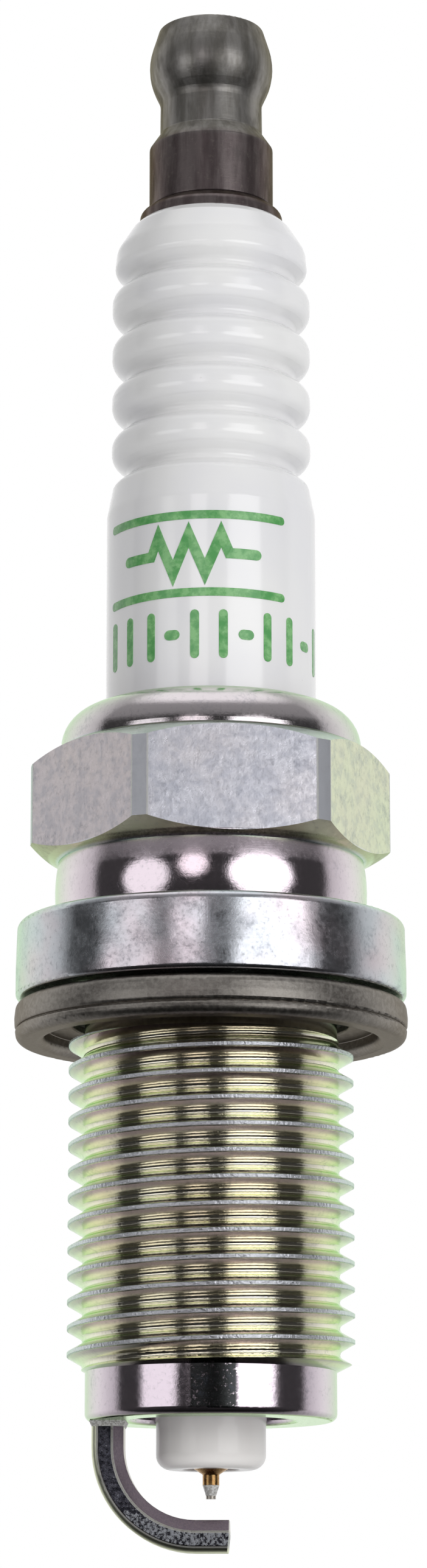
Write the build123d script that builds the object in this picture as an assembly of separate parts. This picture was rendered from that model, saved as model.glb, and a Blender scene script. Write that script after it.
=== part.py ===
from build123d import *
import math
import os

# A resistor spark plug with an M14 x 1.25 thread, a 16 mm hex, a captive folded
# gasket and a screw-on terminal nut.  Millimetres.  The Z axis is the plug's axis
# and points from the firing end to the terminal.  Z = 0 is the gasket's lower
# face, which seats on the cylinder head.

# Shell
THREAD_PITCH = 1.25
THREAD_CREST_R = 6.93
THREAD_ROOT_R = 6.20
THREAD_CREST_FLAT = 0.16
THREAD_TOP_Z = -0.03
GROOVE_HEIGHT_AT_X = -6.35
SHELL_END_Z = -18.25
PILOT_R = 6.05
PILOT_TOP_Z = -15.92
THREAD_LEAD_IN = 0.45
RELIEF_R = 6.15
FLANGE_R = 9.55
FLANGE_BOTTOM_Z = 2.13
FLANGE_TOP_Z = 5.90
NECK_R = 7.66
NECK_BARREL_R = 7.5
NECK_WIDEST_Z = 7.35
HEX_ACROSS_FLATS = 15.78
HEX_CORNER_R = 8.90
HEX_BOTTOM_Z = 8.89
HEX_TOP_Z = 14.48
HEX_CHAMFER_DEG = 30
HEX_CHAMFER_CROWN_R = 12.0
HEX_TURN_DEG = 7.5
CRIMP_R = 7.42
CRIMP_TOP_Z = 16.58
CRIMP_LIP = 0.93
CRIMP_ROUNDING = 1.90
SHELL_MOUTH_R = 3.95
SHELL_LEDGE_R = 3.60
SHELL_TRUNK_R = 4.75
SHELL_CAVITY_R = 6.42
CAVITY_BOTTOM_Z = 2.62
LEDGE_BOTTOM_Z = -9.90

# Insulator
INSULATOR_TOP_Z = 41.90
INSULATOR_END_Z = -20.53
BARREL_R = 5.21
HIDDEN_BARREL_R = 5.00
BARREL_BOTTOM_Z = 16.70
RIB_R = 4.99
RIB_VALLEY_R = 3.95
RIB_VALLEYS_Z = [38.72, 36.15, 33.65, 31.15, 28.70]
TRUNK_R = 4.60
INSULATOR_FLANGE_R = 6.30
INSULATOR_FLANGE_TOP_Z = 9.20
INSULATOR_FLANGE_BOTTOM_Z = 4.35
NOSE_TAPER_TOP_R = 3.28
NOSE_R = 2.63
STUD_BORE_R = 2.05
ELECTRODE_BORE_R = 1.33
BORE_STEP_Z = -7.20

# Seat between the insulator and the shell's ledge
SEAT_SLOPE = 0.875
SEAT_TOP_Z = -7.45
PACKING_HEIGHT = 0.45

# Packing under the crimp
WIRE_R = 0.69
LOWER_WIRE_Z = 10.75
PACKING_CLEARANCE = 0.01

# Centre electrode
ELECTRODE_R = 1.28
ELECTRODE_HEAD_R = 1.95
ELECTRODE_HEAD_TOP_Z = -6.20
ELECTRODE_NECK_R = 0.40
ELECTRODE_NECK_END_Z = -21.25
COPPER_CORE_R = 0.72
COPPER_CORE_END_Z = -18.00
TIP_R = 0.24
TIP_END_Z = -21.90
TIP_WELD_HEIGHT = 0.50

# Seals and resistor in the insulator's bore
LOWER_SEAL_TOP_Z = -2.40
RESISTOR_TOP_Z = 8.60
UPPER_SEAL_TOP_Z = 14.60

# Terminal
STUD_SEAT_Z = 41.90
STUD_FLANGE_R = 3.65
NUT_BOTTOM_Z = 42.75
NUT_TOP_Z = 52.38
NUT_COLLAR_R = 3.14
NUT_NECK_R = 2.60
NUT_BALL_CORNER_R = 3.36
NUT_BALL_MIDDLE_Z = 50.15
NUT_TOP_R = 2.66
STUD_THREAD_PITCH = 0.70
STUD_THREAD_R = 1.95
STUD_THREAD_ROOT_R = 1.58
STUD_THREAD_TOP_Z = 50.00
STUD_END_Z = 10.60
STEM_R = 1.65
KNURL_R = 1.85
KNURL_TOP_Z = 17.00
KNURL_GROOVE_COUNT = 8
KNURL_GROOVE_SPACING = 0.65
NUT_BORE_R = 2.02
NUT_BORE_TOP_Z = 50.40

# Gasket
GASKET_HEIGHT = 1.95
GASKET_R = 9.60
GASKET_LIP_R = 6.72
GASKET_LIP_BOTTOM_Z = 0.80
GASKET_LIP_THICKNESS = 0.42
GASKET_LOBE_INNER_R = 8.12
GASKET_SEAM_Z = 0.64
GASKET_SEAM_DEPTH = 0.22

# Ground electrode, as seen in the plane that holds it
STRAP_AZIMUTH_DEG = 178.0
STRAP_WIDTH = 2.60
STRAP_THICKNESS = 1.52
STRAP_BEND_R = 4.17
STRAP_BEND_CENTRE = (0.73, -19.50)
STRAP_TIP_OVERHANG = 0.885
STRAP_BEVEL_DEPTH = 0.58
STRAP_BEVEL_WIDTH = 0.45
STRAP_OUTER_ROUNDING = 0.34
STRAP_END_SLANT_DEG = 6
WELD_SPREAD = 0.12
WELD_HEIGHT = 0.26


def turned(corners):
    """Solid of revolution about Z from (radius, height, corner rounding) points."""
    points = [(radius, height) for radius, height, _ in corners]
    roundings = [rounding for _, _, rounding in corners]
    outline = FilletPolyline(*points, radius=roundings, close=True)
    return revolve(Plane.XZ * make_face(outline), Axis.Z)


def rod(radius, bottom, top):
    """Plain cylinder on the Z axis between two heights."""
    return Pos(0, 0, bottom) * extrude(Circle(radius), top - bottom)


def cut_thread(body, pitch, root_r, crest_r, crest_flat, bottom, top, height_at_x):
    """Cut a right-hand 60 degree groove with a round root into body, one turn at a time.

    The groove's centre crosses the +X side at height_at_x and every pitch above and below.
    """
    flank = math.tan(math.radians(30))
    overcut = 0.4 * crest_flat / (2 * flank)
    half_mouth = (pitch - crest_flat) / 2
    half_outside = half_mouth + overcut * flank
    root_rounding = half_mouth / flank - (crest_r - root_r)
    tangent_r = root_r + root_rounding / 2
    half_root = root_rounding * math.cos(math.radians(30))
    flanks = Polyline(
        (tangent_r, half_root), (crest_r + overcut, half_outside),
        (crest_r + overcut, -half_outside), (tangent_r, -half_root))
    root = ThreePointArc((tangent_r, -half_root), (root_r, 0), (tangent_r, half_root))
    one_turn = sweep(
        Plane.XZ * make_face([flanks, root]), Helix(pitch, pitch, crest_r), is_frenet=True)
    first = math.ceil((bottom - height_at_x) / pitch)
    last = math.floor((top - height_at_x) / pitch)
    for turn in range(first, last):
        body -= Pos(0, 0, height_at_x + turn * pitch) * one_turn
    return body


def seat_height(radius):
    """Height of the insulator's conical seat at a radius."""
    return SEAT_TOP_Z - (TRUNK_R - radius) * SEAT_SLOPE


def neck_radius(height):
    """Radius of the barrel-shaped neck between the flange and the hex."""
    rise = height - NECK_WIDEST_Z
    return NECK_R - NECK_BARREL_R + math.sqrt(NECK_BARREL_R ** 2 - rise ** 2)


def neck_corner():
    """Where the tangents at the neck's two ends meet, as the corner that its arc rounds off."""
    low = math.asin((FLANGE_TOP_Z - NECK_WIDEST_Z) / NECK_BARREL_R)
    high = math.asin((HEX_BOTTOM_Z - NECK_WIDEST_Z) / NECK_BARREL_R)
    reach = NECK_BARREL_R / math.cos((high - low) / 2)
    middle = (low + high) / 2
    corner_r = NECK_R - NECK_BARREL_R + reach * math.cos(middle)
    return corner_r, NECK_WIDEST_Z + reach * math.sin(middle), 0.98 * NECK_BARREL_R


def make_hex():
    """Hexagonal ring with slightly crowned chamfers that round its corners off."""
    slope = math.tan(math.radians(HEX_CHAMFER_DEG))
    inner_r = SHELL_CAVITY_R + 0.5
    low_r = neck_radius(HEX_BOTTOM_Z) + 0.02
    low_corner_z = HEX_BOTTOM_Z + (HEX_CORNER_R - low_r) * slope
    high_corner_z = HEX_TOP_Z - (HEX_CORNER_R - CRIMP_R) * slope
    chamfers = [
        RadiusArc((low_r, HEX_BOTTOM_Z), (HEX_CORNER_R, low_corner_z), -HEX_CHAMFER_CROWN_R),
        RadiusArc((HEX_CORNER_R, high_corner_z), (CRIMP_R, HEX_TOP_Z), -HEX_CHAMFER_CROWN_R),
    ]
    sides = [
        Line((HEX_CORNER_R, low_corner_z), (HEX_CORNER_R, high_corner_z)),
        Polyline((CRIMP_R, HEX_TOP_Z), (inner_r, HEX_TOP_Z), (inner_r, HEX_BOTTOM_Z),
                 (low_r, HEX_BOTTOM_Z)),
    ]
    envelope = revolve(Plane.XZ * make_face(chamfers + sides), Axis.Z)
    hexagon = RegularPolygon(HEX_ACROSS_FLATS / 2, 6, major_radius=False)
    prism = Pos(0, 0, HEX_BOTTOM_Z) * extrude(hexagon, HEX_TOP_Z - HEX_BOTTOM_Z)
    return Rot(0, 0, HEX_TURN_DEG) * prism & envelope


def make_shell():
    lip_r = BARREL_R + 0.12
    lip_z = CRIMP_TOP_Z - CRIMP_LIP
    bottom = [
        (SHELL_MOUTH_R, SHELL_END_Z, 0.25),
        (PILOT_R, SHELL_END_Z, 0.35),
        (PILOT_R, PILOT_TOP_Z, 0),
        (THREAD_CREST_R, PILOT_TOP_Z + THREAD_LEAD_IN, 0),
        (THREAD_CREST_R, THREAD_TOP_Z, 0),
        (RELIEF_R, THREAD_TOP_Z + 0.02, 0.1),
        (RELIEF_R, FLANGE_BOTTOM_Z, 0.2),
    ]
    middle = [
        (FLANGE_R, FLANGE_BOTTOM_Z, 0.25),
        (FLANGE_R, FLANGE_TOP_Z - 2.4, 0),
        (FLANGE_R - 0.07, FLANGE_TOP_Z, 0.4),
        (neck_radius(FLANGE_TOP_Z), FLANGE_TOP_Z, 0.01),
        neck_corner(),
        (neck_radius(HEX_BOTTOM_Z), HEX_BOTTOM_Z, 0),
        (neck_radius(HEX_BOTTOM_Z), HEX_BOTTOM_Z + 1, 0),
        (CRIMP_R, HEX_BOTTOM_Z + 1, 0),
    ]
    top = [
        (CRIMP_R, CRIMP_TOP_Z, CRIMP_ROUNDING),
        (lip_r, CRIMP_TOP_Z, 0.15),
        (lip_r, lip_z, 0.15),
        (SHELL_CAVITY_R, lip_z, WIRE_R + 0.02),
    ]
    inside = [
        (SHELL_CAVITY_R, CAVITY_BOTTOM_Z + 1.10, 0.3),
        (SHELL_TRUNK_R, CAVITY_BOTTOM_Z, 0.3),
        (SHELL_TRUNK_R, seat_height(SHELL_TRUNK_R) - PACKING_HEIGHT, 0),
        (SHELL_LEDGE_R, seat_height(SHELL_LEDGE_R) - PACKING_HEIGHT, 0.1),
        (SHELL_LEDGE_R, LEDGE_BOTTOM_Z, 0.2),
        (SHELL_MOUTH_R, LEDGE_BOTTOM_Z - 0.35, 0.2),
    ]
    body = turned(bottom + middle + top + inside)
    return cut_thread(
        body + make_hex(), THREAD_PITCH, THREAD_ROOT_R, THREAD_CREST_R, THREAD_CREST_FLAT,
        PILOT_TOP_Z - 2 * THREAD_PITCH, THREAD_TOP_Z + 2 * THREAD_PITCH, GROOVE_HEIGHT_AT_X)


def make_insulator():
    seat_inner_r = NOSE_TAPER_TOP_R + 0.12
    top_face_r = STUD_FLANGE_R + 0.04
    outside = [
        (STUD_BORE_R, INSULATOR_TOP_Z, 0.1),
        (top_face_r, INSULATOR_TOP_Z, 0.2),
        (top_face_r + 0.35, INSULATOR_TOP_Z - 0.35, 0.4),
        (RIB_R - 0.22, INSULATOR_TOP_Z - 1.50, 0.9),
        (RIB_R - 0.12, INSULATOR_TOP_Z - 2.52, 0.4),
        (RIB_VALLEY_R, RIB_VALLEYS_Z[0], 0.3),
    ]
    for upper, lower in zip(RIB_VALLEYS_Z, RIB_VALLEYS_Z[1:]):
        outside += [
            (RIB_R, upper - 0.70, 0.75),
            (RIB_R, lower + 0.70, 0.75),
            (RIB_VALLEY_R, lower, 0.3),
        ]
    outside += [
        (RIB_R - 0.08, RIB_VALLEYS_Z[-1] - 0.68, 0.4),
        (BARREL_R, RIB_VALLEYS_Z[-1] - 2.20, 1.5),
        (BARREL_R, BARREL_BOTTOM_Z, 0),
        (HIDDEN_BARREL_R, BARREL_BOTTOM_Z, 0),
        (HIDDEN_BARREL_R, INSULATOR_FLANGE_TOP_Z + 1.25, 0.2),
        (INSULATOR_FLANGE_R, INSULATOR_FLANGE_TOP_Z, 0.3),
        (INSULATOR_FLANGE_R, INSULATOR_FLANGE_BOTTOM_Z, 0.3),
        (TRUNK_R, INSULATOR_FLANGE_BOTTOM_Z - 1.10, 0.3),
        (TRUNK_R, SEAT_TOP_Z, 0),
        (seat_inner_r, seat_height(seat_inner_r), 0.2),
        (NOSE_TAPER_TOP_R, SEAT_TOP_Z - 2.15, 0.5),
        (NOSE_R, INSULATOR_END_Z + 1.93, 2.0),
        (NOSE_R, INSULATOR_END_Z, 0.70),
    ]
    bore = [
        (ELECTRODE_BORE_R, INSULATOR_END_Z, 0.1),
        (ELECTRODE_BORE_R, BORE_STEP_Z - 0.60, 0.1),
        (STUD_BORE_R, BORE_STEP_Z, 0.1),
    ]
    return turned(outside + bore)


def make_terminal_nut():
    bore_cone_z = NUT_BORE_TOP_Z + NUT_BORE_R * math.tan(math.radians(31))
    return turned([
        (NUT_BORE_R, NUT_BOTTOM_Z, 0.1),
        (NUT_COLLAR_R, NUT_BOTTOM_Z, 0.1),
        (NUT_COLLAR_R, NUT_BOTTOM_Z + 3.20, 0.12),
        (NUT_NECK_R, NUT_BOTTOM_Z + 4.00, 0.15),
        (NUT_NECK_R - 0.02, NUT_BOTTOM_Z + 5.70, 0.9),
        (NUT_BALL_CORNER_R, NUT_BALL_MIDDLE_Z, 3.2),
        (NUT_TOP_R, NUT_TOP_Z, 0.14),
        (0, NUT_TOP_Z, 0),
        (0, bore_cone_z, 0),
        (NUT_BORE_R, NUT_BORE_TOP_Z, 0),
    ])


def make_terminal_stud():
    guide_r = STUD_BORE_R - 0.04
    body = turned([
        (0, STUD_END_Z, 0),
        (KNURL_R - 0.45, STUD_END_Z, 0),
        (KNURL_R, STUD_END_Z + 0.45, 0),
        (KNURL_R, KNURL_TOP_Z, 0.1),
        (STEM_R, KNURL_TOP_Z + 0.30, 0.1),
        (STEM_R, STUD_SEAT_Z - 1.55, 0.1),
        (guide_r, STUD_SEAT_Z - 1.25, 0.1),
        (guide_r, STUD_SEAT_Z, 0),
        (STUD_FLANGE_R, STUD_SEAT_Z, 0.05),
        (STUD_FLANGE_R - 0.06, STUD_SEAT_Z + 0.50, 0.35),
        (STUD_FLANGE_R - 0.50, NUT_BOTTOM_Z, 0),
        (STUD_THREAD_ROOT_R, NUT_BOTTOM_Z, 0),
        (STUD_THREAD_ROOT_R, NUT_BOTTOM_Z + 0.60, 0.1),
        (STUD_THREAD_R, NUT_BOTTOM_Z + 1.00, 0),
        (STUD_THREAD_R, STUD_THREAD_TOP_Z - 0.40, 0),
        (STUD_THREAD_R - 0.40, STUD_THREAD_TOP_Z, 0),
        (0, STUD_THREAD_TOP_Z, 0),
    ])
    body = cut_thread(
        body, STUD_THREAD_PITCH, STUD_THREAD_ROOT_R, STUD_THREAD_R, 0.10,
        NUT_BOTTOM_Z + 0.65, STUD_THREAD_TOP_Z + 1.00, NUT_BOTTOM_Z)
    grooves = []
    for row in range(KNURL_GROOVE_COUNT):
        ring_z = STUD_END_Z + 1.00 + KNURL_GROOVE_SPACING * row
        grooves.append(turned([
            (KNURL_R - 0.15, ring_z, 0),
            (KNURL_R + 0.10, ring_z - 0.20, 0),
            (KNURL_R + 0.10, ring_z + 0.20, 0),
        ]))
    return body - grooves


def make_center_electrode():
    shank_end_z = INSULATOR_END_Z - 0.10
    body = turned([
        (0, ELECTRODE_NECK_END_Z, 0),
        (ELECTRODE_NECK_R, ELECTRODE_NECK_END_Z, 0),
        (ELECTRODE_NECK_R, shank_end_z - 0.12, 0.05),
        (ELECTRODE_R, shank_end_z + 0.45, 0.1),
        (ELECTRODE_R, BORE_STEP_Z - 0.55, 0),
        (ELECTRODE_HEAD_R, BORE_STEP_Z + 0.01, 0),
        (ELECTRODE_HEAD_R, ELECTRODE_HEAD_TOP_Z - 0.30, 0.1),
        (ELECTRODE_HEAD_R - 0.50, ELECTRODE_HEAD_TOP_Z, 0.1),
        (0, ELECTRODE_HEAD_TOP_Z, 0),
    ])
    return body - rod(COPPER_CORE_R, COPPER_CORE_END_Z, ELECTRODE_HEAD_TOP_Z + 1)


def make_gasket():
    """Folded sheet ring: a thin lip that rides on the relief and two rolled lobes outside it."""
    lip_top_z = GASKET_LIP_BOTTOM_Z + GASKET_LIP_THICKNESS
    seam_r = GASKET_R - GASKET_SEAM_DEPTH
    lobe_gap = 0.05
    return turned([
        (GASKET_LIP_R, GASKET_LIP_BOTTOM_Z, 0.12),
        (GASKET_LOBE_INNER_R, GASKET_LIP_BOTTOM_Z, 0.05),
        (GASKET_LOBE_INNER_R, 0, 0.42),
        (GASKET_R - 0.11, 0, 0.42),
        (GASKET_R - 0.03, GASKET_SEAM_Z - lobe_gap, 0.12),
        (seam_r, GASKET_SEAM_Z, 0.02),
        (GASKET_R - 0.02, GASKET_SEAM_Z + lobe_gap, 0.18),
        (GASKET_R, GASKET_SEAM_Z + 0.50, 1.0),
        (GASKET_R - 0.09, GASKET_HEIGHT, 0.42),
        (GASKET_LOBE_INNER_R - 0.50, GASKET_HEIGHT, 0.30),
        (GASKET_LOBE_INNER_R - 0.50, lip_top_z, 0.05),
        (GASKET_LIP_R, lip_top_z, 0.12),
    ])


def strap_section():
    """Ground electrode's section: local x is its thickness (+ away from the gap), y its width."""
    half_t = STRAP_THICKNESS / 2
    half_w = STRAP_WIDTH / 2
    rounding = STRAP_OUTER_ROUNDING
    outline = FilletPolyline(
        (half_t, -half_w), (half_t, half_w),
        (STRAP_BEVEL_DEPTH - half_t, half_w), (-half_t, half_w - STRAP_BEVEL_WIDTH),
        (-half_t, STRAP_BEVEL_WIDTH - half_w), (STRAP_BEVEL_DEPTH - half_t, -half_w),
        radius=[rounding, rounding, 0.05, 0.05, 0.05, 0.05], close=True)
    return make_face(outline)


def make_ground_electrode():
    centre_x, centre_z = STRAP_BEND_CENTRE
    root_x = centre_x + STRAP_BEND_R
    arm_z = centre_z - STRAP_BEND_R
    riser = Line((root_x, 0, SHELL_END_Z), (root_x, 0, centre_z))
    bend = CenterArc((centre_x, centre_z), STRAP_BEND_R, 0, -90)
    bend = Plane.XZ * bend
    arm = Line((centre_x, 0, arm_z), (-STRAP_TIP_OVERHANG, 0, arm_z))
    section = Pos(root_x, 0, SHELL_END_Z) * strap_section()
    strap = sweep(section, [riser, bend, arm])
    end_cut = Pos(-STRAP_TIP_OVERHANG, 0, arm_z) * Rot(0, -STRAP_END_SLANT_DEG, 0)
    end_cut *= Pos(-STRAP_WIDTH / 2, 0, 0) * Box(STRAP_WIDTH, 2 * STRAP_WIDTH, 2 * STRAP_WIDTH)
    return Rot(0, 0, STRAP_AZIMUTH_DEG) * (strap - end_cut)


def make_ground_weld():
    root_x = STRAP_BEND_CENTRE[0] + STRAP_BEND_R
    foot = Pos(root_x, 0, SHELL_END_Z) * RectangleRounded(
        STRAP_THICKNESS + 2 * WELD_SPREAD, STRAP_WIDTH + 2 * WELD_SPREAD, 0.3)
    bead = extrude(foot, -WELD_HEIGHT, taper=24)
    strap = Pos(root_x, 0, SHELL_END_Z - 1) * extrude(strap_section(), 2)
    inner_limit = rod(PILOT_R - 0.02, SHELL_END_Z - 1, SHELL_END_Z + 1)
    return Rot(0, 0, STRAP_AZIMUTH_DEG) * ((bead & inner_limit) - strap)


def make_wire_ring(height):
    centre_r = (SHELL_CAVITY_R + HIDDEN_BARREL_R) / 2
    return Pos(0, 0, height) * Torus(centre_r, WIRE_R)


upper_wire_z = CRIMP_TOP_Z - CRIMP_LIP - WIRE_R - PACKING_CLEARANCE
talc = turned([
    (HIDDEN_BARREL_R + PACKING_CLEARANCE, LOWER_WIRE_Z, 0),
    (SHELL_CAVITY_R - PACKING_CLEARANCE, LOWER_WIRE_Z, 0),
    (SHELL_CAVITY_R - PACKING_CLEARANCE, upper_wire_z, 0),
    (HIDDEN_BARREL_R + PACKING_CLEARANCE, upper_wire_z, 0),
])
upper_wire = make_wire_ring(upper_wire_z)
lower_wire = make_wire_ring(LOWER_WIRE_Z)
terminal_stud = make_terminal_stud()
center_electrode = make_center_electrode()
seal_r = STUD_BORE_R
packing_inner_r = SHELL_LEDGE_R + 0.15
packing_outer_r = TRUNK_R - 0.05

nodes = {
    "terminal_nut": make_terminal_nut(),
    "terminal_stud": terminal_stud,
    "insulator": make_insulator(),
    "upper_glass_seal": rod(seal_r, RESISTOR_TOP_Z, UPPER_SEAL_TOP_Z) - terminal_stud,
    "resistor": rod(seal_r, LOWER_SEAL_TOP_Z, RESISTOR_TOP_Z),
    "lower_glass_seal": rod(seal_r, ELECTRODE_HEAD_TOP_Z, LOWER_SEAL_TOP_Z),
    "center_electrode": center_electrode,
    "center_electrode_core": rod(COPPER_CORE_R, COPPER_CORE_END_Z, ELECTRODE_HEAD_TOP_Z),
    "electrode_tip_weld": turned([
        (0, ELECTRODE_NECK_END_Z - TIP_WELD_HEIGHT, 0),
        (TIP_R, ELECTRODE_NECK_END_Z - TIP_WELD_HEIGHT, 0),
        (ELECTRODE_NECK_R, ELECTRODE_NECK_END_Z, 0),
        (0, ELECTRODE_NECK_END_Z, 0),
    ]),
    "electrode_tip": rod(TIP_R, TIP_END_Z, ELECTRODE_NECK_END_Z - TIP_WELD_HEIGHT),
    "shell": make_shell(),
    "seat_packing": turned([
        (packing_inner_r, seat_height(packing_inner_r), 0),
        (packing_inner_r, seat_height(packing_inner_r) - PACKING_HEIGHT, 0),
        (packing_outer_r, seat_height(packing_outer_r) - PACKING_HEIGHT, 0),
        (packing_outer_r, seat_height(packing_outer_r), 0),
    ]),
    "lower_packing_ring": lower_wire,
    "talc_powder": talc - lower_wire - upper_wire,
    "upper_packing_ring": upper_wire,
    "gasket": make_gasket(),
    "ground_electrode": make_ground_electrode(),
    "ground_electrode_weld": make_ground_weld(),
}

os.makedirs("parts", exist_ok=True)
for name, solid in nodes.items():
    export_step(solid, f"parts/{name}.step")
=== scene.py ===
import math
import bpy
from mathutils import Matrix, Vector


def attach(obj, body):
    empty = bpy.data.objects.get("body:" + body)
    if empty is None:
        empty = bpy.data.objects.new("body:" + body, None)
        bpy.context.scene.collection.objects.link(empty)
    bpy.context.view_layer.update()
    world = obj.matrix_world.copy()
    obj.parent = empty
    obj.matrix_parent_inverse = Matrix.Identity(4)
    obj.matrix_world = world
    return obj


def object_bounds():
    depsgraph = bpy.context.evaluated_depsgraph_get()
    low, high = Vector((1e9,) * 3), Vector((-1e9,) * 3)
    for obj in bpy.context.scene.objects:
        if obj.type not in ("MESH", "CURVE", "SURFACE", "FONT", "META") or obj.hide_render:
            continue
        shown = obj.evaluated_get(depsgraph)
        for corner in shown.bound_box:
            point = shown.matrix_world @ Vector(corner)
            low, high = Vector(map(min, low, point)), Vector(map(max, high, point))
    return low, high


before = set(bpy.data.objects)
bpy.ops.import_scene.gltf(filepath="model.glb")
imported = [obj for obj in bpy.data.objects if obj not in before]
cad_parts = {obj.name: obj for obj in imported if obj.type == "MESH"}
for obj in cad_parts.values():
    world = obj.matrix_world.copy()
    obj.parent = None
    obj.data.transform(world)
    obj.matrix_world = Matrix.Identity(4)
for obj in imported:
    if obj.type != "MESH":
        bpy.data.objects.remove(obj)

from types import SimpleNamespace

import bpy
from mathutils import Euler, Vector

cad_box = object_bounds()
MM = 0.001
PLUG = "plug"


# ---------------------------------------------------------------- material graphs

class Graph:
    """A material's node tree, built one node at a time around its Principled shader."""

    def __init__(self, name, **constants):
        self.material = bpy.data.materials.new(name)
        self.material.use_nodes = True
        self.tree = self.material.node_tree
        self.shader = self.tree.nodes["Principled BSDF"]
        for socket, value in constants.items():
            self.shader.inputs[socket.replace("_", " ")].default_value = value
        place = self.add("ShaderNodeTexCoord").outputs["Object"]
        self.place = self.math_vector("SCALE", place, scale=1 / MM)
        parts = self.add("ShaderNodeSeparateXYZ", Vector=self.place)
        self.height = parts.outputs["Z"]
        flat = self.math_vector("MULTIPLY", self.place, (1, 1, 0))
        length = self.add("ShaderNodeVectorMath", operation="LENGTH", Vector=flat)
        self.radius = length.outputs["Value"]
        self.azimuth = self.math("ARCTAN2", parts.outputs["Y"], parts.outputs["X"])
        normal = self.add("ShaderNodeNewGeometry").outputs["Normal"]
        self.normal = self.add("ShaderNodeSeparateXYZ", Vector=normal).outputs

    def add(self, kind, operation=None, **inputs):
        node = self.tree.nodes.new(kind)
        if operation:
            node.operation = operation
        for socket, value in inputs.items():
            self.feed(node.inputs[socket.replace("_", " ")], value)
        return node

    def feed(self, socket, value):
        if isinstance(value, bpy.types.NodeSocket):
            self.tree.links.new(value, socket)
        else:
            socket.default_value = value

    def math(self, operation, first, second=0.0):
        node = self.add("ShaderNodeMath", operation)
        self.feed(node.inputs[0], first)
        self.feed(node.inputs[1], second)
        return node.outputs[0]

    def times(self, first, second):
        return self.math("MULTIPLY", first, second)

    def plus(self, first, second):
        return self.math("ADD", first, second)

    def math_vector(self, operation, first, second=(0, 0, 0), scale=1.0):
        node = self.add("ShaderNodeVectorMath", operation)
        self.feed(node.inputs[0], first)
        if operation == "SCALE":
            self.feed(node.inputs["Scale"], scale)
        else:
            self.feed(node.inputs[1], second)
        return node.outputs[0]

    def noise(self, size, stretch=(1, 1, 1), detail=3.0, roughness=0.55, shift=0.0):
        """Noise whose features are about size millimetres, drawn out along an axis by stretch."""
        squeeze = [1 / (size * s) for s in stretch]
        scaled = self.math_vector("MULTIPLY", self.place, squeeze)
        moved = self.math_vector("ADD", scaled, (shift, shift, shift))
        node = self.add("ShaderNodeTexNoise", Vector=moved, Scale=1.0, Detail=detail,
                        Roughness=roughness)
        return node.outputs["Fac"]

    def grain(self, size, shift=0.0):
        """Crystal-like cells of about size millimetres with a random level each."""
        scaled = self.math_vector("SCALE", self.place, scale=1 / size)
        moved = self.math_vector("ADD", scaled, (shift, shift, shift))
        node = self.add("ShaderNodeTexVoronoi", Vector=moved, Scale=1.0)
        return self.add("ShaderNodeSeparateColor", Color=node.outputs["Color"]).outputs[0]

    def rings(self, size, detail=2.0, shift=0.0):
        """Noise that is the same all round the axis, like the marks a lathe leaves."""
        vector = self.add("ShaderNodeCombineXYZ", X=self.radius, Y=shift, Z=self.height)
        scaled = self.math_vector("SCALE", vector.outputs[0], scale=1 / size)
        node = self.add("ShaderNodeTexNoise", Vector=scaled, Scale=1.0, Detail=detail)
        return node.outputs["Fac"]

    def span(self, value, low, high, start=0.0, end=1.0):
        """value from low..high to start..end, smoothly and without overshoot."""
        node = self.add("ShaderNodeMapRange", Value=value, From_Min=low, From_Max=high,
                        To_Min=start, To_Max=end)
        node.interpolation_type = "SMOOTHSTEP"
        return node.outputs["Result"]

    def band(self, value, low, high, soft):
        """1 between low and high, falling to 0 over soft on each side."""
        rise = self.span(value, low - soft, low)
        fall = self.span(value, high, high + soft, 1.0, 0.0)
        return self.math("MULTIPLY", rise, fall)

    def mix(self, share, first, second):
        node = self.tree.nodes.new("ShaderNodeMix")
        node.data_type = "RGBA"
        self.feed(node.inputs["Factor"], share)
        self.feed(node.inputs[6], first)
        self.feed(node.inputs[7], second)
        return node.outputs[2]

    def shade(self, value, low, high, first, second):
        """From the first display colour to the second as value goes from low to high."""
        return self.mix(self.span(value, low, high), tone(*first), tone(*second))

    def mix_value(self, share, first, second):
        node = self.tree.nodes.new("ShaderNodeMix")
        self.feed(node.inputs["Factor"], share)
        self.feed(node.inputs[2], first)
        self.feed(node.inputs[3], second)
        return node.outputs[0]

    def bump(self, height, depth, normal=None):
        """Bump whose full range stands for depth millimetres."""
        node = self.add("ShaderNodeBump", Height=height, Strength=1.0, Distance=depth * MM)
        if normal:
            self.feed(node.inputs["Normal"], normal)
        return node.outputs["Normal"]

    def set(self, socket, value):
        self.feed(self.shader.inputs[socket], value)


def tone(red, green, blue):
    """Linear colour, with alpha, from display values 0 to 255."""
    def linear(level):
        level /= 255
        return level / 12.92 if level <= 0.04045 else ((level + 0.055) / 1.055) ** 2.4
    return (linear(red), linear(green), linear(blue), 1.0)


# ---------------------------------------------------------------- materials

NOSE_EDGE_Z = (-17.5, -18.5)


def glazed_alumina():
    """White glaze with faint clouds and specks; the nose is bare and matt."""
    g = Graph("glazed_alumina", IOR=1.6, Coat_Weight=0.7, Coat_Roughness=0.08)
    cloud = g.noise(6.0, detail=2.0)
    speck = g.span(g.noise(0.35, detail=1.0, shift=7.0), 0.80, 0.86)
    nose = g.span(g.height, *NOSE_EDGE_Z)
    white = g.shade(cloud, 0.35, 0.65, (236, 236, 239), (242, 242, 242))
    white = g.mix(nose, white, tone(236, 233, 231))
    g.set("Base Color", g.mix(g.times(speck, 0.25), white, tone(170, 165, 155)))
    g.set("Roughness", g.mix_value(nose, g.span(cloud, 0.3, 0.7, 0.12, 0.17), 0.55))
    g.set("Normal", g.bump(g.noise(0.9, detail=2.0, shift=3.0), 0.003))
    return g.material


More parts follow.
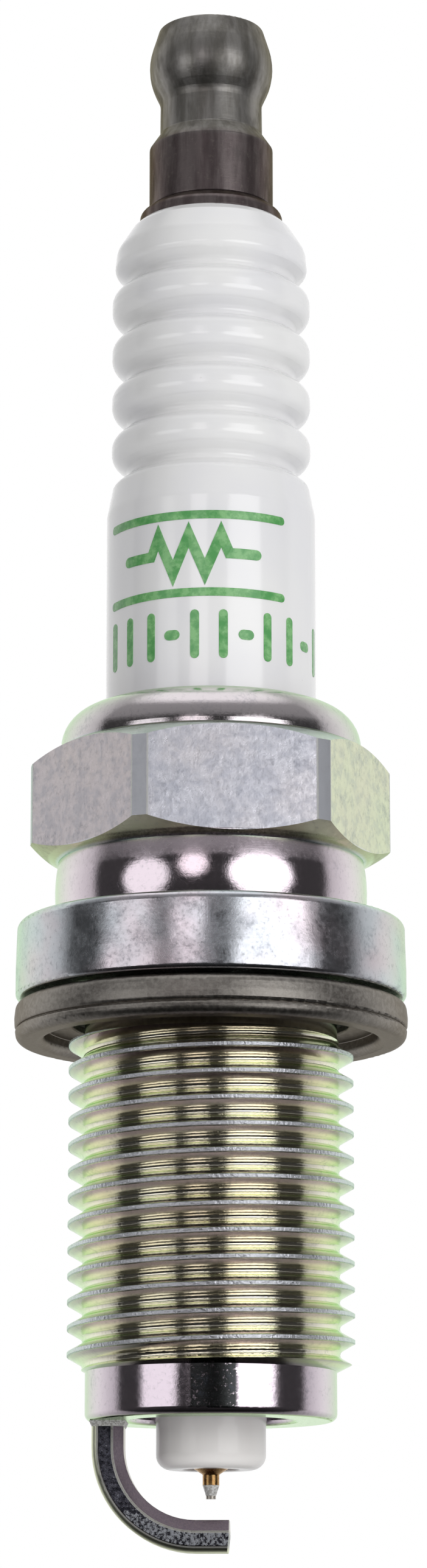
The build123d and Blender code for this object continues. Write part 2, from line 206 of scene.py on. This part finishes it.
def print_enamel():
    g = Graph("print_enamel", IOR=1.5, Coat_Weight=0.3, Coat_Roughness=0.05)
    patch = g.noise(0.5, detail=4.0, roughness=0.6)
    g.set("Base Color", g.shade(patch, 0.35, 0.68, (88, 160, 92), (134, 192, 128)))
    g.set("Roughness", g.span(patch, 0.2, 0.8, 0.18, 0.32))
    g.set("Normal", g.bump(g.noise(0.12, detail=3.0), 0.003))
    return g.material


# Zones of the shell in millimetres: _Z and _R are its lowest and highest height or radius,
# and _EDGE is where a zone fades in, from outside it to inside it.
CRIMP_EDGE_Z = (14.40, 14.60)
HEX_Z = (9.20, 14.30)
HEX_EDGE_R = (7.66, 7.74)
LOWER_CHAMFER_Z = (9.00, 10.60)
FLANGE_Z = (2.10, 5.95)
NECK_Z = (6.00, 8.80)
NECK_TOP_Z = (8.10, 8.80)
THREAD_EDGE_Z = (0.8, 0.2)
THREAD_SHOULDER_EDGE_R = (6.42, 6.70)
THREAD_CREST_EDGE_R = (6.82, 6.90)
PILOT_EDGE_Z = (-15.75, -15.95)
END_FACE_EDGE_Z = (-18.12, -18.22)
END_FACE_EDGE_R = (5.95, 5.80)

HEX_CORNER_AT = math.radians(52.5)
HEX_CORNER_HALF = math.radians(2.44)
# Azimuths on the pilot's front where a dark reflection is painted in as a dark, speckled patch.
DARK_REFLECTION_AZIMUTH = (math.radians(-98.5), math.radians(-79.5))


def shell_marks(g):
    """Noises that the shell's colour, roughness and relief share."""
    return SimpleNamespace(
        drift=g.noise(4.0, detail=2.0),
        blotch=g.noise(1.3, detail=4.0, roughness=0.6, shift=8.0),
        mottle=g.noise(0.60, detail=4.0, roughness=0.65, shift=12.0),
        fine=g.noise(0.22, detail=5.0, roughness=0.72, shift=2.0),
        upright=g.noise(0.30, (1, 1, 14), detail=3.0, shift=4.0),
        lathe=g.rings(0.12, detail=3.0),
        torn=g.noise(0.16, detail=3.0, shift=9.0))


def shell_zones(g, marks):
    """Masks that are 1 inside each zone of the shell and 0 outside it."""
    zone = SimpleNamespace()
    zone.crimp = g.span(g.height, *CRIMP_EDGE_Z)
    zone.hex_side = g.times(g.band(g.height, *HEX_Z, 0.12), g.span(g.radius, *HEX_EDGE_R))
    facing_down = g.span(g.normal["Z"], -0.25, -0.45)
    zone.lower_chamfer = g.times(g.band(g.height, *LOWER_CHAMFER_Z, 0.10), facing_down)
    zone.flange = g.band(g.height, *FLANGE_Z, 0.05)
    zone.neck = g.band(g.height, *NECK_Z, 0.05)
    zone.neck_top = g.band(g.height, *NECK_TOP_Z, 0.30)
    zone.pilot = g.span(g.height, *PILOT_EDGE_Z)
    zone.thread = g.math("SUBTRACT", g.span(g.height, *THREAD_EDGE_Z), zone.pilot)
    zone.crest = g.times(zone.thread, g.span(g.radius, *THREAD_CREST_EDGE_R))
    zone.end_face = g.times(g.span(g.height, *END_FACE_EDGE_Z), g.span(g.radius, *END_FACE_EDGE_R))

    wall = g.span(g.math("ABSOLUTE", g.normal["Z"]), 0.35, 0.20)
    zone.hex_wall = g.times(zone.hex_side, wall)
    from_corner = g.math("PINGPONG", g.plus(g.azimuth, HEX_CORNER_AT), math.radians(30))
    facet = g.span(from_corner, HEX_CORNER_HALF, 0.93 * HEX_CORNER_HALF)
    zone.corner = g.times(zone.hex_wall, facet)
    rim = g.band(from_corner, HEX_CORNER_HALF, 1.16 * HEX_CORNER_HALF, 0.06 * HEX_CORNER_HALF)
    zone.burr = g.times(zone.hex_wall, rim)

    # Painted reflection: a dark, speckled patch on the pilot's front stands in for the dark gap
    # between the lamps that the metal reflects there.
    facing = g.band(g.azimuth, *DARK_REFLECTION_AZIMUTH, 0.05)
    spots = g.span(g.plus(marks.fine, g.times(facing, 0.22)), 0.56, 0.64)
    zone.stain = g.times(g.times(g.times(zone.pilot, facing), spots), wall)
    return zone


def shell_colour(g, marks, zone):
    # Painted reflection: the hex flats are tinted by the way they face, bluish at the front, lilac
    # to the left and beige to the right, for the reflections they show.
    front = g.shade(marks.drift, 0.3, 0.7, (236, 237, 248), (250, 246, 252))
    lilac = g.shade(marks.drift, 0.3, 0.7, (240, 228, 230), (234, 224, 230))
    beige = g.shade(marks.drift, 0.3, 0.7, (244, 236, 222), (244, 242, 222))
    flat_reflection_tints = g.mix(g.span(g.normal["X"], -0.35, -0.60), front, lilac)
    flat_reflection_tints = g.mix(g.span(g.normal["X"], 0.35, 0.60), flat_reflection_tints, beige)
    cream = g.shade(marks.drift, 0.3, 0.7, (254, 246, 226), (255, 250, 234))
    cream = g.mix(g.span(g.radius, *THREAD_SHOULDER_EDGE_R), cream, tone(222, 206, 212))
    film = g.shade(marks.drift, 0.35, 0.65, (232, 220, 228), (222, 226, 234))
    for mask, colour in [
            (zone.neck, tone(246, 232, 242)),
            (zone.hex_side, flat_reflection_tints),
            (zone.lower_chamfer, tone(206, 200, 176)),
            (zone.crimp, tone(234, 226, 230)),
            (zone.thread, cream),
            (zone.crest, tone(240, 242, 250)),
            (zone.pilot, tone(240, 226, 238)),
            # painted dark reflection on the pilot's front
            (zone.stain, tone(66, 68, 68)),
            (zone.end_face, tone(226, 236, 206))]:
        film = g.mix(mask, film, colour)

    speck = g.span(marks.fine, 0.53, 0.72)
    speck_amount = g.mix_value(zone.hex_side, g.mix_value(zone.flange, 0.18, 0.36), 0.20)
    haze = g.times(g.span(marks.blotch, 0.52, 0.66), g.span(marks.fine, 0.40, 0.60))
    haze_amount = g.mix_value(zone.hex_side, 0.16, 0.20)
    cloudy = g.times(zone.hex_wall, g.span(marks.mottle, 0.44, 0.62))
    for mask, colour in [
            (g.times(speck, speck_amount), tone(112, 114, 122)),
            (g.times(haze, haze_amount), tone(112, 120, 140)),
            (g.times(cloudy, 0.22), tone(176, 184, 206)),
            (zone.corner, tone(236, 238, 246)),
            (zone.burr, tone(255, 255, 255))]:
        film = g.mix(mask, film, colour)
    return film


def shell_roughness(g, marks, zone):
    rough = 0.08
    for mask, level in [
            (zone.hex_side, g.span(marks.mottle, 0.3, 0.7, 0.28, 0.36)),
            (zone.flange, g.span(marks.blotch, 0.3, 0.7, 0.15, 0.27)),
            (zone.neck_top, 0.22),
            (zone.crimp, g.span(marks.blotch, 0.3, 0.7, 0.08, 0.16)),
            (zone.thread, 0.09),
            (zone.crest, 0.34),
            (zone.pilot, 0.10),
            (zone.stain, 0.22),
            (zone.corner, 0.50),
            (zone.burr, 0.62)]:
        rough = g.mix_value(mask, rough, level)
    return g.plus(rough, g.span(marks.fine, 0.3, 0.8, -0.03, 0.09))


def shell_relief(g, marks, zone):
    pits = g.bump(marks.fine, 0.004)
    off_thread = g.math("SUBTRACT", 1.0, zone.thread)
    turned = g.bump(g.times(marks.lathe, off_thread), 0.0015, pits)
    pressed = g.plus(g.times(marks.upright, 0.4), g.plus(marks.mottle, g.times(marks.blotch, 2.0)))
    drawn = g.bump(g.times(pressed, zone.hex_side), 0.006, turned)
    return g.bump(g.times(marks.torn, zone.crest), 0.05, drawn)


def plated_steel():
    """Bright zinc plating: mottled on the pressed hex, polished on the thread and the neck."""
    g = Graph("plated_steel", Metallic=1.0, Specular_Tint=tone(218, 242, 210))
    marks = shell_marks(g)
    zone = shell_zones(g, marks)
    g.set("Base Color", shell_colour(g, marks, zone))
    g.set("Roughness", shell_roughness(g, marks, zone))
    g.set("Normal", shell_relief(g, marks, zone))
    return g.material


NUT_COLLAR_EDGE_Z = (46.3, 45.7)


def terminal_steel():
    """Blackened, tumbled steel: soft, streaked, olive at the ball and brown on the collar."""
    g = Graph("terminal_steel", Metallic=1.0, Specular_Tint=tone(168, 164, 140))
    streak = g.noise(0.55, (1, 1, 7), detail=4.0, roughness=0.6)
    blotch = g.noise(1.1, (1, 1, 2), detail=4.0, roughness=0.6, shift=11.0)
    fine = g.noise(0.2, detail=4.0, roughness=0.7, shift=5.0)
    olive = g.shade(streak, 0.35, 0.65, (146, 143, 138), (178, 175, 172))
    brown = g.shade(streak, 0.35, 0.65, (114, 103, 104), (140, 130, 130))
    dark = g.mix(g.span(g.height, *NUT_COLLAR_EDGE_Z), olive, brown)
    dark = g.mix(g.times(g.span(blotch, 0.52, 0.68), 0.35), dark, tone(90, 86, 84))
    scuff = g.times(g.span(fine, 0.55, 0.75), 0.35)
    g.set("Base Color", g.mix(scuff, dark, tone(172, 166, 156)))
    patchy = g.span(blotch, 0.3, 0.7, 0.34, 0.44)
    g.set("Roughness", g.plus(patchy, g.span(fine, 0.2, 0.8, -0.03, 0.05)))
    lathe = g.bump(g.rings(0.10, detail=3.0), 0.003)
    g.set("Normal", g.bump(fine, 0.006, lathe))
    return g.material


def gasket_steel():
    g = Graph("gasket_steel", Metallic=1.0, Specular_Tint=tone(178, 174, 164))
    fine = g.noise(0.22, detail=5.0, roughness=0.7)
    lathe = g.rings(0.15, detail=2.0)
    g.set("Base Color", g.shade(fine, 0.35, 0.7, (156, 151, 145), (188, 183, 177)))
    g.set("Roughness", g.span(fine, 0.2, 0.8, 0.30, 0.46))
    g.set("Normal", g.bump(fine, 0.012, g.bump(lathe, 0.004)))
    return g.material


# The strap's bend, and its zones by distance from the bend's centre line, in millimetres
BEND_CENTRE = (-0.73, -19.50)
STRAP_SIDE_R = (3.99, 4.62)
STRAP_BACK_EDGE_R = (4.62, 4.72)
STRAP_OUTER_BURR_R = (4.68, 4.73)
STRAP_INNER_BURR_R = (3.93, 4.03)
STRAP_ARM_EDGE_Z = (-21.6, -23.2)


def nickel_alloy():
    """Drawn strap: smooth bent faces, a sheared side with torn bright spots, most near the tip."""
    g = Graph("nickel_alloy", Metallic=1.0, Specular_Tint=tone(238, 240, 224))
    fine = g.noise(0.10, detail=5.0, roughness=0.75)
    tear = g.noise(0.15, detail=4.0, roughness=0.70, shift=6.0)
    parts = g.add("ShaderNodeSeparateXYZ", Vector=g.place)
    out = g.math("MAXIMUM", g.math("SUBTRACT", BEND_CENTRE[0], parts.outputs["X"]), 0.0)
    down = g.math("MAXIMUM", g.math("SUBTRACT", BEND_CENTRE[1], g.height), 0.0)
    reach = g.math("SQRT", g.plus(g.times(out, out), g.times(down, down)))
    side = g.band(reach, *STRAP_SIDE_R, 0.03)
    back = g.span(reach, *STRAP_BACK_EDGE_R)
    outer_burr = g.band(reach, *STRAP_OUTER_BURR_R, 0.03)
    burr = g.plus(outer_burr, g.band(reach, *STRAP_INNER_BURR_R, 0.02))
    arm = g.span(g.height, *STRAP_ARM_EDGE_Z)
    torn = g.span(tear, g.mix_value(arm, 0.66, 0.42), g.mix_value(arm, 0.72, 0.56))
    bright = g.times(side, torn)

    film = g.shade(fine, 0.35, 0.65, (150, 138, 152), (172, 160, 170))
    film = g.mix(side, film, g.shade(tear, 0.40, 0.60, (60, 60, 68), (112, 112, 124)))
    film = g.mix(back, film, tone(236, 240, 214))
    film = g.mix(g.times(bright, 0.75), film, tone(240, 244, 252))
    film = g.mix(g.times(burr, g.span(tear, 0.25, 0.45)), film, tone(254, 254, 250))
    g.set("Base Color", film)
    rough = 0.17
    for mask, level in [(side, 0.16), (bright, 0.45), (back, 0.36), (burr, 0.62)]:
        rough = g.mix_value(mask, rough, level)
    g.set("Roughness", g.plus(rough, g.span(fine, 0.2, 0.8, -0.03, 0.06)))
    g.set("Normal", g.bump(fine, 0.003, g.bump(g.times(tear, side), 0.05)))
    return g.material


def weld_alloy():
    """Flash of the welds: fine bright grains."""
    g = Graph("weld_alloy", Metallic=0.55)
    fine = g.noise(0.09, detail=4.0, roughness=0.7, shift=1.0)
    g.set("Base Color", g.shade(g.grain(0.07), 0.2, 0.8, (206, 204, 200), (254, 254, 252)))
    g.set("Roughness", g.span(fine, 0.2, 0.8, 0.50, 0.66))
    g.set("Normal", g.bump(fine, 0.03))
    return g.material


def electrode_alloy():
    g = Graph("electrode_alloy", Metallic=1.0)
    fine = g.noise(0.12, detail=3.0)
    g.set("Base Color", g.shade(fine, 0.3, 0.7, (164, 122, 78), (206, 168, 112)))
    g.set("Roughness", g.span(fine, 0.2, 0.8, 0.18, 0.30))
    g.set("Normal", g.bump(g.rings(0.05, detail=2.0), 0.003))
    return g.material


def plain_metal(name, dark, light, low, high, size=0.3, depth=0.004):
    """Metal whose roughness goes from low to high with its grain."""
    g = Graph(name, Metallic=1.0)
    fine = g.noise(size, detail=3.0)
    g.set("Base Color", g.shade(fine, 0.3, 0.7, dark, light))
    g.set("Roughness", g.span(fine, 0.2, 0.8, low, high))
    g.set("Normal", g.bump(fine, depth))
    return g.material


def mineral(name, dark, light, rough, depth, size=0.25):
    g = Graph(name, Roughness=rough)
    fine = g.noise(size, detail=4.0)
    g.set("Base Color", g.shade(fine, 0.3, 0.7, dark, light))
    g.set("Normal", g.bump(fine, depth))
    return g.material


def finish_nodes():
    weld = weld_alloy()
    terminal = terminal_steel()
    packing = plain_metal("washer_steel", (120, 120, 118), (170, 170, 166), 0.25, 0.4)
    seal = mineral("seal_glass", (52, 52, 56), (84, 84, 88), 0.35, 0.01)
    looks = {
        "terminal_nut": terminal,
        "terminal_stud": terminal,
        "insulator": glazed_alumina(),
        "upper_glass_seal": seal,
        "resistor": mineral("resistor_mass", (44, 42, 40), (66, 62, 58), 0.7, 0.02),
        "lower_glass_seal": seal,
        "center_electrode": electrode_alloy(),
        "center_electrode_core": plain_metal("copper", (176, 96, 62), (214, 132, 92), 0.25, 0.4),
        "electrode_tip_weld": weld,
        "electrode_tip": plain_metal(
            "noble_metal", (190, 182, 172), (228, 222, 212), 0.28, 0.42, size=0.08, depth=0.006),
        "shell": plated_steel(),
        "seat_packing": packing,
        "lower_packing_ring": packing,
        "talc_powder": mineral("talc", (208, 203, 190), (232, 229, 220), 0.9, 0.03),
        "upper_packing_ring": packing,
        "gasket": gasket_steel(),
        "ground_electrode": nickel_alloy(),
        "ground_electrode_weld": weld,
    }
    for name, material in looks.items():
        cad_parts[name].material_slots[0].material = material


# ---------------------------------------------------------------- marks on the barrel

BARREL_R = 5.21
PRINT_BELOW = 0.010
PRINT_PROUD = 0.020
PRINT_STEP = 0.25

# The marks' places along the barrel's front and their heights, in millimetres
LINE_HEIGHTS = (25.30, 21.40)
LINE_FROM_TO = (-6.0, 3.75)
ZIGZAG_HEIGHT = 23.35
ZIGZAG_SWING = 0.95
ZIGZAG_TEETH = (-2.7, -1.9, -1.1, -0.3, 0.5)
BAR_FROM_TO = (18.3, 20.3)
BAR_PLACES = (-5.9, -4.5, -3.1, -0.8, 0.6, 2.9, 4.3, 6.9)
DOT_PLACES = (-1.95, 1.75, 5.6)


def stroke_outline(path, width):
    """Centre points, sideways directions and half widths along a round-ended stroke."""
    half = width / 2
    points = [Vector(point) for point in path]
    tangents = [(b - a).normalized() for a, b in zip(points, points[1:])]
    samples = []
    for share in (0.0, 0.08, 0.3, 0.6):
        back = half * (1 - share)
        samples.append((points[0] - tangents[0] * back, tangents[0].orthogonal(),
                        math.sqrt(max(half ** 2 - back ** 2, 1e-8))))
    for number, (start, end) in enumerate(zip(points, points[1:])):
        side = tangents[number].orthogonal()
        before = tangents[number - 1].orthogonal() if number else side
        corner = (side + before).normalized()
        samples.append((start, corner / corner.dot(side), half))
        steps = max(1, round((end - start).length / PRINT_STEP))
        for step in range(1, steps):
            samples.append((start.lerp(end, step / steps), side, half))
    last = tangents[-1]
    samples.append((points[-1], last.orthogonal(), half))
    for share in (0.6, 0.3, 0.08, 0.0):
        ahead = half * (1 - share)
        samples.append((points[-1] + last * ahead, last.orthogonal(),
                        math.sqrt(max(half ** 2 - ahead ** 2, 1e-8))))
    return samples


def add_stroke(vertices, faces, path, width):
    """Thin slab of enamel wrapped on the barrel along a path of (arc, height) points in mm."""
    first = len(vertices)
    samples = stroke_outline(path, width)
    for centre, side, half in samples:
        for radius in (BARREL_R + PRINT_PROUD, BARREL_R - PRINT_BELOW):
            for sign in (1, -1):
                arc, height = centre + side * (half * sign)
                angle = arc / BARREL_R
                vertices.append((radius * math.sin(angle) * MM, -radius * math.cos(angle) * MM,
                                 height * MM))
    for number in range(len(samples) - 1):
        a, b = first + 4 * number, first + 4 * number + 4
        faces += [(a, a + 1, b + 1, b), (a + 2, b + 2, b + 3, a + 3),
                  (a, b, b + 2, a + 2), (a + 1, a + 3, b + 3, b + 1)]
    end = first + 4 * (len(samples) - 1)
    faces += [(first, first + 2, first + 3, first + 1), (end, end + 1, end + 3, end + 2)]


def make_barrel_print():
    """Plain marks in place of printed text: two lines, a zigzag between them, and a row of bars."""
    vertices, faces = [], []
    low, high = LINE_FROM_TO
    steps = round((high - low) / PRINT_STEP)
    for height in LINE_HEIGHTS:
        line = [(low + PRINT_STEP * step, height) for step in range(steps + 1)]
        add_stroke(vertices, faces, line, 0.42)
    zigzag = [(-4.6, ZIGZAG_HEIGHT), (-3.1, ZIGZAG_HEIGHT)]
    for number, place in enumerate(ZIGZAG_TEETH):
        swing = ZIGZAG_SWING if number % 2 == 0 else -ZIGZAG_SWING
        zigzag.append((place, ZIGZAG_HEIGHT + swing))
    zigzag += [(0.9, ZIGZAG_HEIGHT), (2.3, ZIGZAG_HEIGHT)]
    add_stroke(vertices, faces, zigzag, 0.52)
    low, high = BAR_FROM_TO
    for place in BAR_PLACES:
        add_stroke(vertices, faces, [(place, low), (place, high)], 0.44)
    middle = (low + high) / 2
    for place in DOT_PLACES:
        add_stroke(vertices, faces, [(place - 0.15, middle), (place + 0.15, middle)], 0.50)
    mesh = bpy.data.meshes.new("barrel_print")
    mesh.from_pydata(vertices, [], faces)
    marks = bpy.data.objects.new("barrel_print", mesh)
    bpy.context.scene.collection.objects.link(marks)
    mesh.materials.append(print_enamel())
    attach(marks, PLUG)


# ---------------------------------------------------------------- stage, light and camera

CAMERA_PLACE = (0.12 * MM, -205.0 * MM, -31.55 * MM)
CAMERA_TILT_DEG = 12.25
CAMERA_LENS = 97.55
CAMERA_SENSOR = 36.0


def make_camera():
    data = bpy.data.cameras.new("camera")
    data.sensor_width = CAMERA_SENSOR
    data.lens = CAMERA_LENS
    data.clip_start = 0.01
    data.clip_end = 20
    camera = bpy.data.objects.new("camera", data)
    camera.location = CAMERA_PLACE
    camera.rotation_euler = Euler((math.radians(90 + CAMERA_TILT_DEG), 0, 0))
    bpy.context.scene.collection.objects.link(camera)
    bpy.context.scene.camera = camera


LAMP_DISTANCE = 0.6


def softbox(name, azimuths, elevations, radiance, colour=(1, 1, 1), glossy=True):
    """Elliptical lamp that fills the given angles, azimuth 0 at the camera and + towards +X."""
    data = bpy.data.lights.new(name, "AREA")
    data.shape = "ELLIPSE"
    width, height = (2 * LAMP_DISTANCE * math.tan(math.radians((high - low) / 2))
                     for low, high in (azimuths, elevations))
    data.size, data.size_y = width, height
    area = math.pi / 4 * width * height
    data.energy = radiance * math.pi * area
    data.color = colour
    lamp = bpy.data.objects.new(name, data)
    azimuth, elevation = math.radians(sum(azimuths) / 2), math.radians(sum(elevations) / 2)
    away = Vector((math.sin(azimuth) * math.cos(elevation),
                   -math.cos(azimuth) * math.cos(elevation), math.sin(elevation)))
    lamp.location = away * LAMP_DISTANCE
    lamp.rotation_euler = away.to_track_quat("Z", "Y").to_euler()
    lamp.visible_camera = False
    lamp.visible_glossy = glossy
    bpy.context.scene.collection.objects.link(lamp)


def world_ramp(tree, value, stops):
    """Brightness along a direction's component, whose stops go from -1 to 1."""
    halved = tree.nodes.new("ShaderNodeMapRange")
    halved.inputs["From Min"].default_value = -1
    tree.links.new(value, halved.inputs["Value"])
    ramp = tree.nodes.new("ShaderNodeValToRGB")
    elements = ramp.color_ramp.elements
    while len(elements) < len(stops):
        elements.new(0.5)
    for element, (position, level) in zip(elements, stops):
        element.position = (position + 1) / 2
        element.color = (level, level, level, 1)
    tree.links.new(halved.outputs["Result"], ramp.inputs["Fac"])
    return ramp.outputs["Color"]


def combine(tree, operation, first, second):
    node = tree.nodes.new("ShaderNodeVectorMath")
    node.operation = operation
    tree.links.new(first, node.inputs[0])
    tree.links.new(second, node.inputs[1])
    return node.outputs[0]


# Brightness of the room around the plug by the y and z of a direction. The first two
# multiply, and the ceiling takes over where it is brighter.
DEPTH_LEVELS = [(-1, 0.03), (0.02, 0.04), (0.14, 0.50), (0.56, 0.85), (1, 1.0)]
HEIGHT_LEVELS = [(-1, 0.10), (-0.75, 0.3), (-0.35, 0.8), (-0.05, 1.0), (0.55, 1.0), (1, 0.45)]
CEILING_LEVELS = [(-1, 0), (0.36, 0), (0.46, 0.22), (0.80, 0.28), (0.93, 0.95), (1, 0.95)]


def make_room():
    """White to the camera; to the plug, light behind it, dim at the camera's side and below."""
    world = bpy.data.worlds.new("studio")
    bpy.context.scene.world = world
    world.use_nodes = True
    tree = world.node_tree
    backdrop = tree.nodes["Background"]
    backdrop.inputs["Color"].default_value = (1, 1, 1, 1)
    room = tree.nodes.new("ShaderNodeBackground")
    place = tree.nodes.new("ShaderNodeTexCoord")
    parts = tree.nodes.new("ShaderNodeSeparateXYZ")
    tree.links.new(place.outputs["Generated"], parts.inputs[0])
    depth = world_ramp(tree, parts.outputs["Y"], DEPTH_LEVELS)
    height = world_ramp(tree, parts.outputs["Z"], HEIGHT_LEVELS)
    ceiling = world_ramp(tree, parts.outputs["Z"], CEILING_LEVELS)
    walls = combine(tree, "MULTIPLY", depth, height)
    tree.links.new(combine(tree, "MAXIMUM", walls, ceiling), room.inputs["Color"])
    seen = tree.nodes.new("ShaderNodeLightPath")
    mix = tree.nodes.new("ShaderNodeMixShader")
    tree.links.new(seen.outputs["Is Camera Ray"], mix.inputs["Fac"])
    tree.links.new(room.outputs[0], mix.inputs[1])
    tree.links.new(backdrop.outputs[0], mix.inputs[2])
    tree.links.new(mix.outputs[0], tree.nodes["World Output"].inputs["Surface"])


def make_lamps():
    """Three lamps that the metal reflects, and two large ones that don't show in reflections."""
    softbox("key_left", (-66, -31), (-7, 19), 0.92)
    softbox("key_right", (13, 61), (-8, 23), 1.55)
    softbox("fill", (-23, -3), (5, 22), 1.15, colour=(1.0, 0.95, 0.96))
    softbox("front", (-30, 75), (-40, 45), 1.06, glossy=False)
    softbox("below", (-60, 60), (-100, -40), 1.06, glossy=False)


FLOOR_HALF_SIZE = 3.0
FLOOR_BELOW_PLUG = 0.035
FLOOR_COLOUR = (0.80, 0.80, 0.81, 1)
FLOOR_LEVEL = 0.92


def make_floor():
    """Evenly pale floor under the hovering plug, with no part in lighting it."""
    size = FLOOR_HALF_SIZE
    mesh = bpy.data.meshes.new("floor")
    z = cad_box[0].z - FLOOR_BELOW_PLUG
    mesh.from_pydata([(-size, -size, z), (size, -size, z), (size, size, z), (-size, size, z)], [],
                     [(0, 1, 2, 3)])
    floor = bpy.data.objects.new("floor", mesh)
    bpy.context.scene.collection.objects.link(floor)
    material = bpy.data.materials.new("floor")
    material.use_nodes = True
    inputs = material.node_tree.nodes["Principled BSDF"].inputs
    inputs["Base Color"].default_value = (0.05, 0.05, 0.05, 1)
    inputs["Roughness"].default_value = 1.0
    inputs["Specular IOR Level"].default_value = 0.0
    inputs["Emission Color"].default_value = FLOOR_COLOUR
    inputs["Emission Strength"].default_value = FLOOR_LEVEL
    mesh.materials.append(material)
    floor.visible_glossy = False
    floor.visible_diffuse = False


make_camera()
finish_nodes()
make_barrel_print()
make_room()
make_lamps()
make_floor()
bpy.context.scene.view_settings.view_transform = "Standard"
